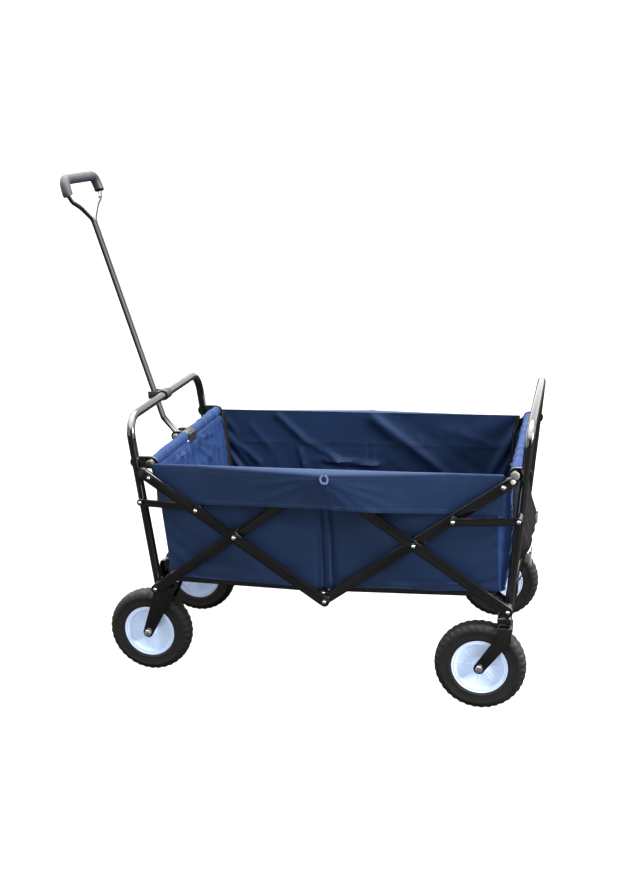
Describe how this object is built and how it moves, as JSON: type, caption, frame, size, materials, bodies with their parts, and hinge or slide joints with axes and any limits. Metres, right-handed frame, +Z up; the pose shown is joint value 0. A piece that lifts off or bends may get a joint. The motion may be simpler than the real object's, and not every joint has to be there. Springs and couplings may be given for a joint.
{
  "type": "folding camp wagon",
  "caption": "Folding camp wagon: scissor steel frame, open fabric basket, fixed front wheels, swivelling rear casters and a swinging pull handle.",
  "frame": {"origin": "middle of the overall length and width, at floor level", "axes": "+Z up, X along the wagon with the pull handle at -X and the swivelling casters at +X, Y across it"},
  "size_m": [0.9578, 0.514, 1.0293],
  "materials": {
    "front_hoop": "gloss black powder coat",
    "front_top_rail": "gloss black powder coat",
    "front_cross_member": "gloss black powder coat",
    "front_fork_near": "gloss black powder coat",
    "front_fork_far": "gloss black powder coat",
    "front_axle_near": "zinc-plated bolt",
    "front_axle_far": "zinc-plated bolt",
    "front_panel": "navy woven polyester",
    "handle_bracket": "gloss black powder coat",
    "handle_bolt": "zinc-plated bolt",
    "handle_clip": "black moulded clip",
    "front_wheel_near_tyre": "moulded rubber with a block tread",
    "front_wheel_near_rim": "pale blue-grey moulded disc",
    "front_wheel_far_tyre": "moulded rubber with a block tread",
    "front_wheel_far_rim": "pale blue-grey moulded disc",
    "strut_b_near": "gloss black powder coat",
    "strut_b_far": "gloss black powder coat",
    "strut_a_near": "gloss black powder coat",
    "strut_a_far": "gloss black powder coat",
    "strut_d_near": "gloss black powder coat",
    "strut_d_far": "gloss black powder coat",
    "centre_cross_tube": "gloss black powder coat",
    "strut_c_near": "gloss black powder coat",
    "strut_c_far": "gloss black powder coat",
    "rear_hoop": "gloss black powder coat",
    "rear_top_rail": "gloss black powder coat",
    "rear_cross_member": "gloss black powder coat",
    "caster_housing_near": "gloss black powder coat",
    "caster_housing_far": "gloss black powder coat",
    "rear_panel": "navy woven polyester",
    "rear_pouch": "black mesh cloth",
    "link_front_near": "gloss black powder coat",
    "link_front_far": "gloss black powder coat",
    "link_rear_near": "gloss black powder coat",
    "link_rear_far": "gloss black powder coat",
    "rail_front_near": "gloss black powder coat",
    "rail_front_far": "gloss black powder coat",
    "floor_mat_front": "navy woven polyester",
    "rail_rear_near": "gloss black powder coat",
    "rail_rear_far": "gloss black powder coat",
    "floor_mat_rear": "navy woven polyester",
    "wall_front_near": "navy woven polyester",
    "wall_front_far": "navy woven polyester",
    "flap_front_near": "navy woven polyester",
    "flap_front_far": "navy woven polyester",
    "wall_rear_near": "navy woven polyester",
    "wall_rear_far": "navy woven polyester",
    "flap_rear_near": "navy woven polyester",
    "flap_rear_far": "navy woven polyester",
    "handle_rod": "gloss black powder coat",
    "handle_grip": "soft black grip sleeve",
    "caster_fork_near": "gloss black powder coat",
    "rear_axle_near": "zinc-plated bolt",
    "caster_fork_far": "gloss black powder coat",
    "rear_axle_far": "zinc-plated bolt",
    "rear_wheel_near_tyre": "moulded rubber with a block tread",
    "rear_wheel_near_rim": "pale blue-grey moulded disc",
    "rear_wheel_far_tyre": "moulded rubber with a block tread",
    "rear_wheel_far_rim": "pale blue-grey moulded disc"
  },
  "bodies": {
    "front_frame": {"front_hoop": "front_hoop", "front_top_rail": "front_top_rail", "front_cross_member": "front_cross_member", "front_fork_near": "front_fork_near", "front_fork_far": "front_fork_far", "front_axle_near": "front_axle_near", "front_axle_far": "front_axle_far", "front_panel": "front_panel", "handle_bracket": "handle_bracket", "handle_bolt": "handle_bolt", "handle_clip": "handle_clip"},
    "front_wheel_near": {"front_wheel_near_tyre": "front_wheel_near_tyre", "front_wheel_near_rim": "front_wheel_near_rim"},
    "front_wheel_far": {"front_wheel_far_tyre": "front_wheel_far_tyre", "front_wheel_far_rim": "front_wheel_far_rim"},
    "strut_b": {"strut_b_near": "strut_b_near", "strut_b_far": "strut_b_far"},
    "strut_a": {"strut_a_near": "strut_a_near", "strut_a_far": "strut_a_far"},
    "strut_d": {"strut_d_near": "strut_d_near", "strut_d_far": "strut_d_far", "centre_cross_tube": "centre_cross_tube"},
    "strut_c": {"strut_c_near": "strut_c_near", "strut_c_far": "strut_c_far"},
    "rear_frame": {"rear_hoop": "rear_hoop", "rear_top_rail": "rear_top_rail", "rear_cross_member": "rear_cross_member", "caster_housing_near": "caster_housing_near", "caster_housing_far": "caster_housing_far", "rear_panel": "rear_panel", "rear_pouch": "rear_pouch"},
    "link_front": {"link_front_near": "link_front_near", "link_front_far": "link_front_far"},
    "link_rear": {"link_rear_near": "link_rear_near", "link_rear_far": "link_rear_far"},
    "floor_front": {"rail_front_near": "rail_front_near", "rail_front_far": "rail_front_far", "floor_mat_front": "floor_mat_front"},
    "floor_rear": {"rail_rear_near": "rail_rear_near", "rail_rear_far": "rail_rear_far", "floor_mat_rear": "floor_mat_rear"},
    "bag_front": {"wall_front_near": "wall_front_near", "wall_front_far": "wall_front_far", "flap_front_near": "flap_front_near", "flap_front_far": "flap_front_far"},
    "bag_rear": {"wall_rear_near": "wall_rear_near", "wall_rear_far": "wall_rear_far", "flap_rear_near": "flap_rear_near", "flap_rear_far": "flap_rear_far"},
    "pull_handle": {"handle_rod": "handle_rod", "handle_grip": "handle_grip"},
    "caster_near": {"caster_fork_near": "caster_fork_near", "rear_axle_near": "rear_axle_near"},
    "caster_far": {"caster_fork_far": "caster_fork_far", "rear_axle_far": "rear_axle_far"},
    "rear_wheel_near": {"rear_wheel_near_tyre": "rear_wheel_near_tyre", "rear_wheel_near_rim": "rear_wheel_near_rim"},
    "rear_wheel_far": {"rear_wheel_far_tyre": "rear_wheel_far_tyre", "rear_wheel_far_rim": "rear_wheel_far_rim"}
  },
  "joints": [
    {"name": "fold", "type": "hinge", "parent": "front_frame", "child": "strut_b", "pos_m": [-0.27575, 0, 0.2115], "axis": [0, -1, 0], "range_deg": [0, 41.6], "deforming": ["wall_front_near", "wall_front_far", "flap_front_near", "flap_front_far", "wall_rear_near", "wall_rear_far", "flap_rear_near", "flap_rear_far", "floor_mat_front", "floor_mat_rear"]},
    {"name": "scissor_front", "type": "hinge", "parent": "strut_b", "child": "strut_a", "pos_m": [-0.09875, 0, 0.33544], "axis": [0, -1, 0], "range_deg": [-83.3, 0]},
    {"name": "scissor_low_centre", "type": "hinge", "parent": "strut_a", "child": "strut_d", "pos_m": [0.07825, 0, 0.2115], "axis": [0, -1, 0], "range_deg": [0, 83.3]},
    {"name": "scissor_rear", "type": "hinge", "parent": "strut_d", "child": "strut_c", "pos_m": [0.25525, 0, 0.33544], "axis": [0, -1, 0], "range_deg": [-83.3, 0]},
    {"name": "rear_post_pivot", "type": "hinge", "parent": "strut_c", "child": "rear_frame", "pos_m": [0.43225, 0, 0.2115], "axis": [0, -1, 0], "range_deg": [0, 41.7]},
    {"name": "link_front_pivot", "type": "hinge", "parent": "front_frame", "child": "link_front", "pos_m": [-0.2957, 0, 0.3945], "axis": [0, -1, 0], "range_deg": [0, 70.36]},
    {"name": "link_rear_pivot", "type": "hinge", "parent": "rear_frame", "child": "link_rear", "pos_m": [0.4522, 0, 0.3945], "axis": [0, -1, 0], "range_deg": [-70.36, 0]},
    {"name": "floor_front_pivot", "type": "hinge", "parent": "front_frame", "child": "floor_front", "pos_m": [-0.23075, 0, 0.2305], "axis": [0, -1, 0], "range_deg": [0, 79.97]},
    {"name": "floor_rear_pivot", "type": "hinge", "parent": "rear_frame", "child": "floor_rear", "pos_m": [0.38725, 0, 0.2305], "axis": [0, -1, 0], "range_deg": [-79.97, 0]},
    {"name": "bag_front_level", "type": "hinge", "parent": "strut_b", "child": "bag_front", "pos_m": [-0.09875, 0, 0.33544], "axis": [0, -1, 0], "range_deg": [-41.7, 0]},
    {"name": "bag_rear_level", "type": "hinge", "parent": "strut_d", "child": "bag_rear", "pos_m": [0.25525, 0, 0.33544], "axis": [0, -1, 0], "range_deg": [-41.7, 0]},
    {"name": "handle_swing", "type": "hinge", "parent": "front_frame", "child": "pull_handle", "pos_m": [-0.28975, 0, 0.4735], "axis": [0, -1, 0], "range_deg": [0, 115]},
    {"name": "front_wheel_near_spin", "type": "hinge", "parent": "front_frame", "child": "front_wheel_near", "pos_m": [-0.32175, -0.156, 0.089], "axis": [0, 1, 0], "continuous": true},
    {"name": "front_wheel_far_spin", "type": "hinge", "parent": "front_frame", "child": "front_wheel_far", "pos_m": [-0.32175, 0.156, 0.089], "axis": [0, 1, 0], "continuous": true},
    {"name": "caster_near_swivel", "type": "hinge", "parent": "rear_frame", "child": "caster_near", "pos_m": [0.42425, -0.22, 0.1755], "axis": [0, 0, 1], "continuous": true},
    {"name": "caster_far_swivel", "type": "hinge", "parent": "rear_frame", "child": "caster_far", "pos_m": [0.42425, 0.22, 0.1755], "axis": [0, 0, 1], "continuous": true},
    {"name": "rear_wheel_near_spin", "type": "hinge", "parent": "caster_near", "child": "rear_wheel_near", "pos_m": [0.37785, -0.22, 0.089], "axis": [0, 1, 0], "continuous": true},
    {"name": "rear_wheel_far_spin", "type": "hinge", "parent": "caster_far", "child": "rear_wheel_far", "pos_m": [0.37785, 0.22, 0.089], "axis": [0, 1, 0], "continuous": true}
  ],
  "couplings": [
    {"joint": "scissor_front", "follows": "fold", "ratio": -2},
    {"joint": "scissor_low_centre", "follows": "fold", "ratio": 2},
    {"joint": "scissor_rear", "follows": "fold", "ratio": -2},
    {"joint": "rear_post_pivot", "follows": "fold", "ratio": 1},
    {"joint": "link_front_pivot", "follows": "fold", "ratio": 1.689},
    {"joint": "link_rear_pivot", "follows": "fold", "ratio": -1.689},
    {"joint": "floor_front_pivot", "follows": "fold", "ratio": 1.92},
    {"joint": "floor_rear_pivot", "follows": "fold", "ratio": -1.92},
    {"joint": "bag_front_level", "follows": "fold", "ratio": -1},
    {"joint": "bag_rear_level", "follows": "fold", "ratio": -1}
  ]
}
